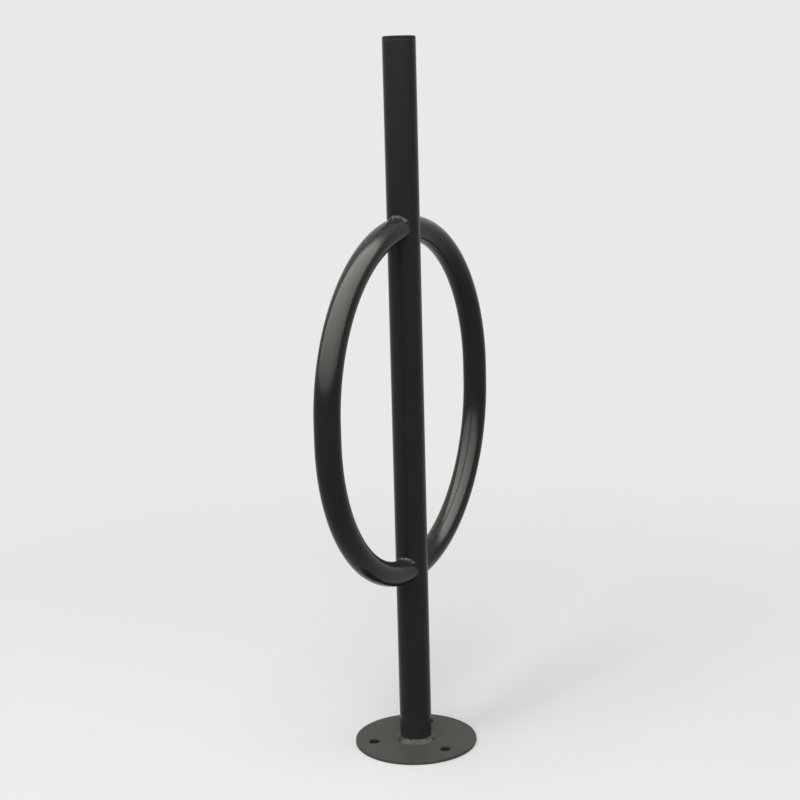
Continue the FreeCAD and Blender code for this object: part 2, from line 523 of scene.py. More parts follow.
class Trees:
    """Geometry node trees, each built once."""

    RIPPLE_MIDDLE = 0.6  # height of a ripple's wave, from 0 to 1, that stays on the bead's plain face
    BEAD_MIDDLE = 0.5  # of the way across a bead

    def __init__(self) -> None:
        """Builds the trees."""
        self.coped_tube = self._coped_tube()
        self.weld_ripples = self._weld_ripples()
        self.anchor_plate = self._anchor_plate()

    @staticmethod
    def _begun(name: str, sizes: dict[str, Kind]) -> tuple[Graph, dict[str, Socket]]:
        """Starts a tree that takes geometry, its sizes and a material, and gives its graph and inputs."""
        inputs = {"Geometry": Kind.GEOMETRY, **sizes, "Material": Kind.MATERIAL}
        return new_group(name, TreeKind.GEOMETRY, inputs, {"Geometry": Kind.GEOMETRY})

    @staticmethod
    def _finished(graph: Graph, shape: Socket, material: Socket) -> bpy.types.NodeTree:
        """Ends a tree in plain geometry with its material.

        Args:
            graph: The tree's graph.
            shape: Its geometry.
            material: Its material.

        Returns:
            The finished tree.
        """
        plain = graph.call("GeometryNodeRealizeInstances", {"Geometry": shape}, "Geometry")
        dress = {"Geometry": plain, "Material": material}
        dressed = graph.call("GeometryNodeSetMaterial", dress, "Geometry")
        return close_group(graph, {"Geometry": dressed})

    @staticmethod
    def _joined(graph: Graph, *shapes: Socket) -> Socket:
        """Joins several geometries.

        Args:
            graph: The tree's graph.
            shapes: The geometries.

        Returns:
            All of them as one.
        """
        node = graph.add("GeometryNodeJoinGeometry")
        for shape in shapes:
            graph.feed(node.inputs["Geometry"], shape)
        return node.outputs["Geometry"]

    @staticmethod
    def _merged(graph: Graph, shape: Socket) -> Socket:
        """Makes one point of points that lie on each other."""
        merge = {"Geometry": shape, "Distance": MERGE_DISTANCE}
        return graph.call("GeometryNodeMergeByDistance", merge, "Geometry")

    @classmethod
    def _coped_tube(cls) -> bpy.types.NodeTree:
        """Tube along a bent path, with both ends slid back onto the post's skin.

        Returns:
            The tree.
        """
        graph, given = cls._begun("coped tube", {
            "Section": Kind.OBJECT, "Side": Kind.VALUE, "Cope Radius": Kind.VALUE,
            "Lower Axis": Kind.VALUE, "Upper Axis": Kind.VALUE,
        })
        path = graph.call("GeometryNodeMeshToCurve", {"Mesh": given["Geometry"]}, "Curve")
        outline = graph.call("GeometryNodeObjectInfo", {"Object": given["Section"]}, "Geometry")
        section = graph.call("GeometryNodeMeshToCurve", {"Mesh": outline}, "Curve")
        tube = graph.call("GeometryNodeCurveToMesh", {"Curve": path, "Profile Curve": section}, "Mesh")

        place = graph.add("GeometryNodeInputPosition").outputs["Position"]
        x, y, z = graph.node("ShaderNodeSeparateXYZ", {"Vector": place}).outputs
        x_squared = graph.maths("MULTIPLY", x, x)
        y_squared = graph.maths("MULTIPLY", y, y)
        cope_squared = graph.maths("MULTIPLY", given["Cope Radius"], given["Cope Radius"])
        inside = graph.maths("LESS_THAN", graph.maths("ADD", x_squared, y_squared), cope_squared)

        both_axes = graph.maths("ADD", given["Lower Axis"], given["Upper Axis"])
        is_upper = graph.maths("GREATER_THAN", z, graph.maths("DIVIDE", both_axes, 2.0))
        straight = graph.maths("SUBTRACT", given["Upper Axis"], given["Lower Axis"])
        axis = graph.maths("MULTIPLY_ADD", is_upper, straight, given["Lower Axis"])
        rise = graph.maths("SUBTRACT", z, axis)
        swing_squared = graph.maths("MULTIPLY_ADD", rise, rise, x_squared)
        reach_squared = graph.maths("SUBTRACT", cope_squared, y_squared)
        new_x = graph.maths("MULTIPLY", graph.maths("SQRT", reach_squared), given["Side"])
        new_rise = graph.maths("SQRT", graph.maths("SUBTRACT", swing_squared, reach_squared))
        new_z = graph.maths("MULTIPLY_ADD", graph.maths("SIGN", rise), new_rise, axis)
        on_post = graph.call("ShaderNodeCombineXYZ", {"X": new_x, "Y": y, "Z": new_z}, "Vector")

        move = {"Geometry": tube, "Selection": inside, "Position": on_post}
        coped = graph.call("GeometryNodeSetPosition", move, "Geometry")
        return cls._finished(graph, cls._merged(graph, coped), given["Material"])

    @classmethod
    def _weld_ripples(cls) -> bpy.types.NodeTree:
        """Ripples and lumps on a bead, from where each point lies along and across it.

        Returns:
            The tree.
        """
        graph, given = cls._begun("weld ripples", {
            "Ripple Pitch": Kind.VALUE, "Ripple Height": Kind.VALUE, "Crescent": Kind.VALUE,
            "Lump Size": Kind.VALUE, "Lump Height": Kind.VALUE, "Seed": Kind.VALUE,
        })

        def stored(name: str, data_type: str) -> Socket:
            """Attribute of the bead by name."""
            inputs = {"Name": name}
            return graph.call("GeometryNodeInputNamedAttribute", inputs, "Attribute", data_type=data_type)

        along = stored("along", "FLOAT")
        across = stored("across", "FLOAT")
        swell = graph.maths("SINE", graph.maths("MULTIPLY", across, math.pi))
        off_middle = graph.maths("SUBTRACT", across, cls.BEAD_MIDDLE)
        bow = graph.maths("MULTIPLY", graph.maths("MULTIPLY", off_middle, off_middle), given["Crescent"])
        phase = graph.maths("ADD", graph.maths("DIVIDE", along, given["Ripple Pitch"]), bow)
        wave = graph.maths("ABSOLUTE", graph.maths("SINE", graph.maths("MULTIPLY", phase, math.pi)))
        rise = graph.maths("SUBTRACT", wave, cls.RIPPLE_MIDDLE)
        ripple = graph.maths("MULTIPLY", rise, given["Ripple Height"])

        place = graph.add("GeometryNodeInputPosition").outputs["Position"]
        shift = graph.call("ShaderNodeCombineXYZ", {"X": given["Seed"]}, "Vector")
        cloud = graph.noise(graph.vector("ADD", place, shift), given["Lump Size"], detail=1.0)
        lump = graph.maths("MULTIPLY", graph.maths("SUBTRACT", cloud, NOISE_MIDDLE), given["Lump Height"])
        height = graph.maths("MULTIPLY", graph.maths("ADD", ripple, lump), swell)
        offset = graph.vector("SCALE", stored("lift", "FLOAT_VECTOR"), height)
        move = {"Geometry": given["Geometry"], "Offset": offset}
        rippled = graph.call("GeometryNodeSetPosition", move, "Geometry")
        return cls._finished(graph, rippled, given["Material"])

    @classmethod
    def _anchor_plate(cls) -> bpy.types.NodeTree:
        """Round plate with holes on a circle, filled between its outlines and drawn up to its thickness.

        Returns:
            The tree.
        """
        graph, given = cls._begun("anchor plate", {
            "Plate Radius": Kind.VALUE, "Plate Segments": Kind.COUNT, "Thickness": Kind.VALUE,
            "Hole Count": Kind.COUNT, "Hole Radius": Kind.VALUE, "Hole Segments": Kind.COUNT,
            "Circle Radius": Kind.VALUE, "Clocking": Kind.VALUE,
        })

        def circle(radius: Socket, segments: Socket) -> Socket:
            """Round outline."""
            sizes = {"Resolution": segments, "Radius": radius}
            return graph.call("GeometryNodeCurvePrimitiveCircle", sizes, "Curve")

        ring = {"Vertices": given["Hole Count"], "Radius": given["Circle Radius"]}
        spots = graph.call("GeometryNodeMeshCircle", ring, "Mesh")
        turn = graph.call("ShaderNodeCombineXYZ", {"Z": given["Clocking"]}, "Vector")
        spots = graph.call("GeometryNodeTransform", {"Geometry": spots, "Rotation": turn}, "Geometry")
        drill = {"Points": spots, "Instance": circle(given["Hole Radius"], given["Hole Segments"])}
        holes = graph.call("GeometryNodeInstanceOnPoints", drill, "Instances")
        rim = circle(given["Plate Radius"], given["Plate Segments"])
        outlines = {"Geometry": cls._joined(graph, holes, rim)}
        flat = {"Curve": graph.call("GeometryNodeRealizeInstances", outlines, "Geometry")}
        face = graph.call("GeometryNodeFillCurve", flat, "Mesh", mode="NGONS")

        draw = {"Mesh": face, "Offset": UP, "Offset Scale": given["Thickness"], "Individual": False}
        walls = graph.call("GeometryNodeExtrudeMesh", draw, "Mesh")
        underside = graph.call("GeometryNodeFlipFaces", {"Mesh": face}, "Mesh")
        closed = cls._merged(graph, cls._joined(graph, walls, underside))
        return cls._finished(graph, closed, given["Material"])


def new_object(name: str, data: bpy.types.ID) -> bpy.types.Object:
    """Links a mesh, a lamp or a camera into the scene as an object at the origin.

    Args:
        name: The object's name.
        data: What it shows.

    Returns:
        The object.
    """
    piece = bpy.data.objects.new(name, data)
    bpy.context.scene.collection.objects.link(piece)
    return piece


def mesh_from(
    name: str, points: Sequence[Vector], edges: Sequence[tuple] = (), faces: Sequence[tuple] = ()
) -> bpy.types.Mesh:
    """Makes a mesh from points and what joins them.

    Args:
        name: The mesh's name.
        points: Its vertices.
        edges: Pairs of vertex numbers.
        faces: Loops of vertex numbers.

    Returns:
        The mesh.
    """
    mesh = bpy.data.meshes.new(name)
    mesh.from_pydata([tuple(point) for point in points], edges, faces)
    mesh.update()
    return mesh


def row_faces(rows: int, width: int, closed: bool) -> list[tuple[int, int, int, int]]:
    """Joins rows of points, each of which runs round a loop.

    Args:
        rows: Number of rows.
        width: Points in a row.
        closed: Whether the last row joins the first.

    Returns:
        The faces, as loops of vertex numbers.
    """
    faces = []
    for row in range(rows if closed else rows - 1):
        here = row * width
        there = (row + 1) % rows * width
        for spot in range(width):
            after = (spot + 1) % width
            faces.append((here + spot, here + after, there + after, there + spot))
    return faces


def shade_smooth(mesh: bpy.types.Mesh) -> None:
    """Shades a mesh smooth between its sharp edges."""
    mesh.shade_smooth()
    mesh.set_sharp_from_angle(angle=SHARP_EDGE)


def face_outwards(mesh: bpy.types.Mesh) -> None:
    """Turns a shell's faces outwards and shades it smooth between its sharp edges.

    Args:
        mesh: The shell, closed or open.
    """
    shell = bmesh.new()
    shell.from_mesh(mesh)
    bmesh.ops.recalc_face_normals(shell, faces=shell.faces)
    shell.to_mesh(mesh)
    shell.free()
    shade_smooth(mesh)


def flatten_level_faces(mesh: bpy.types.Mesh) -> None:
    """Shades level faces flat, so that they look flat up to their rounded edges.

    Args:
        mesh: The mesh.
    """
    for face in mesh.polygons:
        if abs(face.normal.z) > LEVEL_FACE:
            face.use_smooth = False


def settle(piece: bpy.types.Object) -> None:
    """Turns an object with modifiers into a plain mesh without them.

    Args:
        piece: The object.
    """
    bpy.context.view_layer.update()
    evaluated = piece.evaluated_get(bpy.context.evaluated_depsgraph_get())
    plain = bpy.data.meshes.new_from_object(evaluated)
    plain.name = piece.name
    piece.modifiers.clear()
    piece.data = plain


def run_tree(piece: bpy.types.Object, tree: bpy.types.NodeTree, inputs: dict[str, object]) -> None:
    """Runs a geometry node tree on an object and keeps the result as its mesh.

    Args:
        piece: The object.
        tree: The tree.
        inputs: Values by input name.
    """
    modifier = piece.modifiers.new(tree.name, "NODES")
    modifier.node_group = tree
    for item in tree.interface.items_tree:
        if item.in_out == "INPUT" and item.name in inputs:
            modifier[item.identifier] = inputs[item.name]
    settle(piece)


def arc(centre: Sequence[float], radius: float, start: float, end: float, steps: int) -> Outline:
    """Points of an arc in the half plane of a turned piece.

    Args:
        centre: Its centre, as radius and height.
        radius: Its radius.
        start: First angle in degrees, from outwards towards up.
        end: Last angle.
        steps: Spans between points.

    Returns:
        The points.
    """
    angles = [math.radians(start + (end - start) * step / steps) for step in range(steps + 1)]
    return [(centre[0] + radius * math.cos(a), centre[1] + radius * math.sin(a)) for a in angles]


def turned(name: str, outline: Outline, segments: int, ring: bool) -> bpy.types.Mesh:
    """Turns an outline about the Z axis.

    Args:
        name: The mesh's name.
        outline: The outline.
        segments: Steps round the axis.
        ring: Whether the outline closes on itself; otherwise its two ends get flat faces.

    Returns:
        The mesh.
    """
    points = []
    for radius, height in outline:
        for step in range(segments):
            angle = FULL_TURN * step / segments
            points.append(Vector((radius * math.cos(angle), radius * math.sin(angle), height)))
    faces = row_faces(len(outline), segments, closed=ring)
    if not ring:
        faces.append(tuple(range(segments)))
        faces.append(tuple(range(len(points) - segments, len(points))))
    mesh = mesh_from(name, points, faces=faces)
    face_outwards(mesh)
    return mesh


def hand_over(piece: bpy.types.Object, node: str) -> None:
    """Sets a finished piece in the frame in place of a CAD node.

    Args:
        piece: The piece.
        node: The node that it stands for.
    """
    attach(piece, BODY)
    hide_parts(node)


@dataclass(frozen=True)
class RackSizes:
    """Sizes that several sub-assemblies share, in metres."""

    plate_top: float
    post_top: float
    cap_top: float
    ring_middle: float  # height halfway up the hoops
    post_radius: float = 0.02065
    post_wall: float = 0.0030
    tube_radius: float = 0.0159
    tube_wall: float = 0.0025
    bend_radius: float = 0.2090  # to the tube's centreline
    upright: float = 0.0200  # straight length between a hoop's two bends
    cope_gap: float = 0.0002  # between a hoop's end and the post

    @classmethod
    def from_frame(cls) -> "RackSizes":
        """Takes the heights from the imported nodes' boxes.

        Returns:
            The sizes.
        """
        hoop_low, hoop_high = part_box("right_hoop")
        return cls(
            plate_top=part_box("base_plate")[1].z,
            post_top=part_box("post")[1].z,
            cap_top=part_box("post_cap")[1].z,
            ring_middle=(hoop_low.z + hoop_high.z) / 2,
        )

    def bend_axis(self, level: Level) -> float:
        """Height of the axis that a hoop's end is bent about."""
        return self.ring_middle + level.value * self.upright / 2

    def saddle(self, side: Side, level: Level, turn: float, off_post: float, off_tube: float) -> Vector:
        """Point at one distance from the post's skin and another from a hoop's skin.

        Args:
            side: Which hoop.
            level: Which end of it.
            turn: Angle round the tube, from the outside of its bend.
            off_post: Distance from the post's skin.
            off_tube: Distance from the tube's skin.

        Returns:
            The point.
        """
        tube = self.tube_radius + off_tube
        y = tube * math.sin(turn)
        x_squared = (self.post_radius + off_post) ** 2 - y * y
        swing = self.bend_radius + tube * math.cos(turn)
        z = self.bend_axis(level) + level.value * math.sqrt(swing * swing - x_squared)
        return Vector((side.value * math.sqrt(x_squared), y, z))


@dataclass(frozen=True)
class BeadTexture:
    """How the welder's hand leaves a bead. Lengths are in metres."""

    swell: float  # of the face past the flat between its toes, as a share of the leg
    wander: float  # how far the leg strays along the line, as a share
    ripple_pitch: float
    ripple_height: float
    lump_size: float
    lump_height: float
    crescent: float = 1.6  # how far the ripples bow back at the toes, in quarter pitches
    waves: tuple[int, ...] = (4, 7, 11, 17)  # round the line, in which the leg strays


@dataclass
class WeldBead:
    """Weld bead in the corner between two skins, round a closed line. Lengths are in metres."""

    name: str
    node: str
    corner: Callable[[float, float, float], Vector]  # turn, distance off each skin
    leg: float  # at the turns of 0 and 180 degrees
    side_leg: float  # at the turns of 90 and 270 degrees
    texture: BeadTexture
    seed: float
    sink: float = 0.0004  # how far its root reaches under both skins
    turns: int = 420
    face_steps: int = 12

    def leg_at(self, turn: float) -> float:
        """Leg of the bead at an angle round its line, uneven as a hand leaves it.

        Args:
            turn: The angle.

        Returns:
            The leg.
        """
        even = self.side_leg + (self.leg - self.side_leg) * math.cos(turn) ** 2
        waves = self.texture.waves
        stray = sum(math.sin(count * (turn + self.seed)) for count in waves) / len(waves)
        return even * (1 + self.texture.wander * stray)

    def section(self, leg: float) -> list[tuple[float, float, float]]:
        """Closed outline across the bead.

        Args:
            leg: Leg of the bead there.

        Returns:
            Points as distance off the first skin, off the second, and share of the way across.
        """
        face = []
        for step in range(self.face_steps + 1):
            share = step / self.face_steps
            rise = self.texture.swell * leg * math.sin(math.pi * share)
            face.append((leg * share + rise, leg * (1 - share) + rise, share))
        root = [(leg, -self.sink, 0.0), (-self.sink, -self.sink, 0.0), (-self.sink, leg, 0.0)]
        return face + root

    def plain_mesh(self) -> tuple[bpy.types.Mesh, float]:
        """Makes the bead before its ripples, and stores in it what they follow.

        Each point keeps how far along and across the bead it lies and which way it lifts.

        Returns:
            The mesh, and the bead's length along its crown.
        """
        points, lifts, across = [], [], []
        for step in range(self.turns):
            turn = FULL_TURN * step / self.turns
            leg = self.leg_at(turn)
            for first, second, share in self.section(leg):
                point = self.corner(turn, first, second)
                lift = self.corner(turn, first + self.sink, second + self.sink) - point
                points.append(point)
                lifts.extend(lift.normalized() * (leg / self.leg))
                across.append(share)
        width = len(points) // self.turns
        crown = points[self.face_steps // 2::width]
        run = [0.0]
        for here, there in zip(crown, crown[1:] + crown[:1]):
            run.append(run[-1] + (there - here).length)
        length = run.pop()
        along = [start for start in run for _ in range(width)]

        mesh = mesh_from(self.name, points, faces=row_faces(self.turns, width, closed=True))
        mesh.attributes.new("along", "FLOAT", "POINT").data.foreach_set("value", along)
        mesh.attributes.new("across", "FLOAT", "POINT").data.foreach_set("value", across)
        mesh.attributes.new("lift", "FLOAT_VECTOR", "POINT").data.foreach_set("vector", lifts)
        return mesh, length

    def build(self, trees: Trees, material: bpy.types.Material) -> bpy.types.Object:
        """Builds the bead and ripples its face, with a whole number of ripples.

        Args:
            trees: The geometry node trees.
            material: Its finish.

        Returns:
            The finished piece.
        """
        mesh, length = self.plain_mesh()
        piece = new_object(self.name, mesh)
        texture = self.texture
        run_tree(piece, trees.weld_ripples, {
            "Ripple Pitch": length / round(length / texture.ripple_pitch),
            "Ripple Height": texture.ripple_height, "Crescent": texture.crescent,
            "Lump Size": texture.lump_size, "Lump Height": texture.lump_height,
            "Seed": self.seed, "Material": material,
        })
        face_outwards(piece.data)
        hand_over(piece, self.node)
        return piece


@dataclass
class Post:
    """Post tube, its cap disc and the flush weld between them. Lengths are in metres."""

    sizes: RackSizes
    groove: float = 0.0012  # depth of the bevels of tube and cap
    cap_round: float = 0.0026
    weld_hollow: float = 0.00012
    segments: int = 160
    round_steps: int = 10

    def build(
        self, tube: bpy.types.Material, cap: bpy.types.Material, bead: bpy.types.Material
    ) -> list[bpy.types.Object]:
        """Builds the three pieces.

        Args:
            tube: Finish of the tube.
            cap: Finish of the cap.
            bead: Finish of the weld.

        Returns:
            The pieces.
        """
        made = []
        for name, node, mesh, material, slot in (
            ("post_tube", "post", self.tube(), tube, Slot.COAT),
            ("cap_disc", "post_cap", self.cap(), cap, Slot.COAT),
            ("cap_weld_ring", "cap_weld", self.weld(), bead, Slot.BEAD),
        ):
            piece = new_object(name, mesh)
            mesh.materials.append(material)
            flatten_level_faces(mesh)
            hand_over(piece, node)
            made.append(piece)
        return made

    def tube(self) -> bpy.types.Mesh:
        """Tube from the plate to the cap, bevelled at its upper end.

        Returns:
            The mesh.
        """
        radius, top = self.sizes.post_radius, self.sizes.post_top
        bore = radius - self.sizes.post_wall
        outline = [
            (bore, self.sizes.plate_top),
            (radius, self.sizes.plate_top),
            (radius, top - self.groove),
            (radius - self.groove, top),
            (bore, top),
        ]
        return turned("post_tube", outline, self.segments, ring=True)

    def cap(self) -> bpy.types.Mesh:
        """Disc with a rounded upper edge and a bevel below.

        Returns:
            The mesh.
        """
        radius, low, top = self.sizes.post_radius, self.sizes.post_top, self.sizes.cap_top
        centre = (radius - self.cap_round, top - self.cap_round)
        outline = [(radius - self.groove, low), (radius, low + self.groove)]
        outline += arc(centre, self.cap_round, start=0, end=90, steps=self.round_steps)
        return turned("cap_disc", outline, self.segments, ring=False)

    def weld(self) -> bpy.types.Mesh:
        """Weld in the V groove, with its face a little hollow after grinding.

        Returns:
            The mesh.
        """
        radius, level = self.sizes.post_radius, self.sizes.post_top
        outline = [
            (radius - self.groove, level),
            (radius, level - self.groove),
            (radius - self.weld_hollow, level),
            (radius, level + self.groove),
        ]
        return turned("cap_weld_ring", outline, self.segments, ring=True)


@dataclass
class Hoop:
    """Bent half hoop of tube, coped to the post at both ends. Lengths are in metres."""

    sizes: RackSizes
    side: Side
    bend_steps: int = 120
    upright_steps: int = 6
    section_steps: int = 112
    seam_angle: float = 13.0  # degrees from the inside of the bend
    seam_width: float = 0.0011
    seam_depth: float = 0.00022
    seam_flank: float = 0.7  # depth halfway to the seam's edges, as a share

    INSIDE_OF_BEND = -90.0  # degrees in the section's own plane
    WALL_INWARDS = -1.0  # side of the skin that the wall lies on

    @property
    def name(self) -> str:
        """Name of the hoop's node."""
        return self.side.name.lower() + "_hoop"

    def path(self) -> list[Vector]:
        """Centreline from the post axis below to the post axis above.

        Returns:
            Its points.
        """
        points = []
        for level in (Level.LOWER, Level.UPPER):
            for step in range(self.bend_steps + 1):
                share = step / self.bend_steps
                angle = math.pi / 2 * (share if level is Level.LOWER else 1 - share)
                across = self.side.value * self.sizes.bend_radius * math.sin(angle)
                rise = level.value * self.sizes.bend_radius * math.cos(angle)
                points.append(Vector((across, 0.0, self.sizes.bend_axis(level) + rise)))
            if level is Level.LOWER:
                points += self.upright_points(points[-1])
        return points

    def upright_points(self, start: Vector) -> list[Vector]:
        """Points between the two bends, without either end."""
        spans = self.upright_steps
        return [start + Vector((0, 0, self.sizes.upright * step / spans)) for step in range(1, spans)]

    def section(self) -> tuple[list[Vector], list[float]]:
        """Round section with a fine groove along its seam, as one closed line.

        Returns:
            Its points, and for each point 1 in the seam and 0 elsewhere.
        """
        seam = math.radians(self.INSIDE_OF_BEND + self.seam_angle)
        half = self.seam_width / 2 / self.sizes.tube_radius
        flank = self.seam_flank
        spots = [(-half, 0.0), (-half / 2, flank), (0.0, 1.0), (half / 2, flank), (half, 0.0)]
        gap = FULL_TURN - 2 * half
        spots += [(half + gap * step / self.section_steps, 0.0) for step in range(1, self.section_steps)]
        points, marks = [], []
        for angle, sunk in spots:
            radius = self.sizes.tube_radius - self.seam_depth * sunk
            points.append(Vector((radius * math.cos(seam + angle), radius * math.sin(seam + angle), 0.0)))
            marks.append(float(sunk > 0))
        return points, marks

    def build(self, trees: Trees, material: bpy.types.Material) -> bpy.types.Object:
        """Builds the tube along its path, copes it and gives it its wall.

        Args:
            trees: The geometry node trees.
            material: Its finish.

        Returns:
            The finished piece.
        """
        path = self.path()
        spans = [(spot, spot + 1) for spot in range(len(path) - 1)]
        line = mesh_from(self.name + "_path", path, edges=spans)
        points, marks = self.section()
        loop = [(spot, (spot + 1) % len(points)) for spot in range(len(points))]
        outline = mesh_from(self.name + "_section", points, edges=loop)
        outline.attributes.new("seam", "FLOAT", "POINT").data.foreach_set("value", marks)
        profile = new_object(outline.name, outline)

        piece = new_object(self.name + "_tube", line)
        run_tree(piece, trees.coped_tube, {
            "Section": profile, "Side": float(self.side.value),
            "Cope Radius": self.sizes.post_radius + self.sizes.cope_gap,
            "Lower Axis": self.sizes.bend_axis(Level.LOWER),
            "Upper Axis": self.sizes.bend_axis(Level.UPPER),
            "Material": material,
        })
        bpy.data.objects.remove(profile)
        face_outwards(piece.data)
        wall = piece.modifiers.new("wall", "SOLIDIFY")
        wall.thickness = self.sizes.tube_wall
        wall.offset = self.WALL_INWARDS
        settle(piece)
        shade_smooth(piece.data)
        hand_over(piece, self.name)
        return piece


@dataclass
class BasePlate:
    """Round plate with anchor holes. Lengths are in metres."""

    sizes: RackSizes
    radius: float = 0.0794
    edge_round: float = 0.0007
    clocking: float = 8.5  # degrees from +X to the first hole
    segments: int = 240
    hole_segments: int = 64
    round_steps: int = 4

    def build(self, trees: Trees, material: bpy.types.Material) -> bpy.types.Object:
        """Builds the plate with its anchor holes and rounds its edges.

        Args:
            trees: The geometry node trees.
            material: Its finish.

        Returns:
            The finished piece.
        """
        mount = next(entry for entry in frame["record"]["mounts"] if entry["name"] == "anchor_holes")
        holes = mount["dims"]
        piece = new_object("anchor_plate", mesh_from("anchor_plate", []))
        run_tree(piece, trees.anchor_plate, {
            "Plate Radius": self.radius, "Plate Segments": self.segments,
            "Thickness": self.sizes.plate_top, "Hole Count": int(holes["count"]),
            "Hole Radius": holes["hole_r_mm"] * MILLIMETRE, "Hole Segments": self.hole_segments,
            "Circle Radius": holes["pcd_mm"] * MILLIMETRE / 2,
            "Clocking": math.radians(self.clocking), "Material": material,
        })
        edges = piece.modifiers.new("rounded edges", "BEVEL")
        edges.width = self.edge_round
        edges.segments = self.round_steps
        edges.limit_method = "ANGLE"
        edges.angle_limit = SHARP_EDGE
        settle(piece)
        face_outwards(piece.data)
        flatten_level_faces(piece.data)
        hand_over(piece, "base_plate")
        return piece


@dataclass
class Welds:
    """The beads that join hoops, post and plate. Lengths are in metres."""

    sizes: RackSizes
    hoop_leg: float = 0.0030
    hoop_side_leg: float = 0.0010
    hoop_texture: BeadTexture = BeadTexture(
        swell=0.16, wander=0.3, ripple_pitch=0.0034, ripple_height=0.00026,
        lump_size=0.0062, lump_height=0.0020,
    )
    side_seed: float = 3.7
    level_seed: float = 1.3
    foot_leg: float = 0.0066
    foot_rise: float = 0.75  # leg on the post, as a share of the leg on the plate
    foot_texture: BeadTexture = BeadTexture(
        swell=0.04, wander=0.07, ripple_pitch=0.0045, ripple_height=0.0002,
        lump_size=0.0095, lump_height=0.0020,
    )
    foot_seed: float = 8.1

    def hoop_ends(self) -> list[WeldBead]:
        """Lists the beads of the four hoop ends."""
        return [self.hoop_end(side, level) for side in Side for level in Level]

    def hoop_end(self, side: Side, level: Level) -> WeldBead:
        """Bead round the saddle of one hoop end.

        Args:
            side: Which hoop.
            level: Which end of it.

        Returns:
            The bead.
        """
        def corner(turn: float, off_post: float, off_tube: float) -> Vector:
            """Point off the post and off the tube."""
            return self.sizes.saddle(side, level, turn, off_post, off_tube)

        place = f"{level.name}_{side.name}".lower()
        return WeldBead(
            name=place + "_bead",
            node=place + "_weld",
            corner=corner,
            leg=self.hoop_leg,
            side_leg=self.hoop_side_leg,
            texture=self.hoop_texture,
            seed=side.value * self.side_seed + level.value * self.level_seed,
        )

    def foot(self) -> WeldBead:
        """Bead in the corner between the post and the plate.

        Returns:
            The bead.
        """
        def corner(turn: float, off_post: float, off_plate: float) -> Vector:
            """Point off the post and off the plate.

            Args:
                turn: Angle round the post.
                off_post: Distance from the post's skin.
                off_plate: Distance from the plate's top, before the bead's flatter rise.

            Returns:
                The point.
            """
            reach = self.sizes.post_radius + off_post
            level = self.sizes.plate_top + off_plate * self.foot_rise
            return Vector((reach * math.cos(turn), reach * math.sin(turn), level))

        return WeldBead(
            name="foot_bead",
            node="base_weld",
            corner=corner,
            leg=self.foot_leg,
            side_leg=self.foot_leg,
            texture=self.foot_texture,
            seed=self.foot_seed,
        )


@dataclass(frozen=True)
class RackCamera:
    """Camera at the photograph's viewing angle. Metres and radians."""

    distance: float = 1.978465  # from the post axis, level
    height: float = 0.843986
    bearing: float = 1.107890  # from -Y towards -X
    pan: float = -0.004953  # to the right of the post axis
    tilt: float = -0.192604  # above level
    roll: float = -0.025791
    focal_length: float = 1592.102  # pixels
    sensor: float = 36.0  # millimetres
    near: float = 0.05
    far: float = 200.0

    def build(self) -> bpy.types.Object:
        """Makes the camera.

        Returns:
            The camera.
        """
        forward = Vector((
            math.sin(self.pan) * math.cos(self.tilt),
            math.cos(self.pan) * math.cos(self.tilt),
            math.sin(self.tilt),
        ))
        level = Vector((math.cos(self.pan), -math.sin(self.pan), 0.0))
        upright = level.cross(forward)
        right = math.cos(self.roll) * level + math.sin(self.roll) * upright
        up = math.cos(self.roll) * upright - math.sin(self.roll) * level
        pose = Matrix((right, up, -forward)).transposed().to_4x4()
        pose.translation = Vector((0.0, -self.distance, self.height))

        lens = bpy.data.cameras.new("rack_camera")
        lens.sensor_width = self.sensor
        lens.lens = self.sensor * self.focal_length / IMAGE_SIDE
        lens.clip_start = self.near
        lens.clip_end = self.far
        camera = new_object("rack_camera", lens)
        camera.matrix_world = Matrix.Rotation(-self.bearing, 4, "Z") @ pose
        return camera


@dataclass(frozen=True)
class Softbox:
    """Flat soft lamp that faces the rack. Metres and degrees."""

    name: str
    bearing: float  # from the camera's side, towards its left
    elevation: float
    distance: float
    width: float
    height: float
    radiance: float

    def build(self, camera_bearing: float, target: Vector) -> None:
        """Makes the lamp.

        Args:
            camera_bearing: The camera's bearing in radians, from -Y towards -X.
            target: Point that the lamp faces.
        """
        turn = camera_bearing + math.radians(self.bearing)
        lift = math.radians(self.elevation)
        outward = Vector((
            -math.sin(turn) * math.cos(lift), -math.cos(turn) * math.cos(lift), math.sin(lift)
        ))
        lamp = bpy.data.lights.new(self.name, "AREA")
        lamp.shape = "RECTANGLE"
        lamp.size = self.width
        lamp.size_y = self.height
        lamp.energy = self.radiance * math.pi * self.width * self.height
        box = new_object(self.name, lamp)
        box.location = target + outward * self.distance
        box.rotation_mode = "QUATERNION"
        box.rotation_quaternion = outward.to_track_quat("Z", "Y")
        box.visible_camera = False
        box.visible_glossy = False


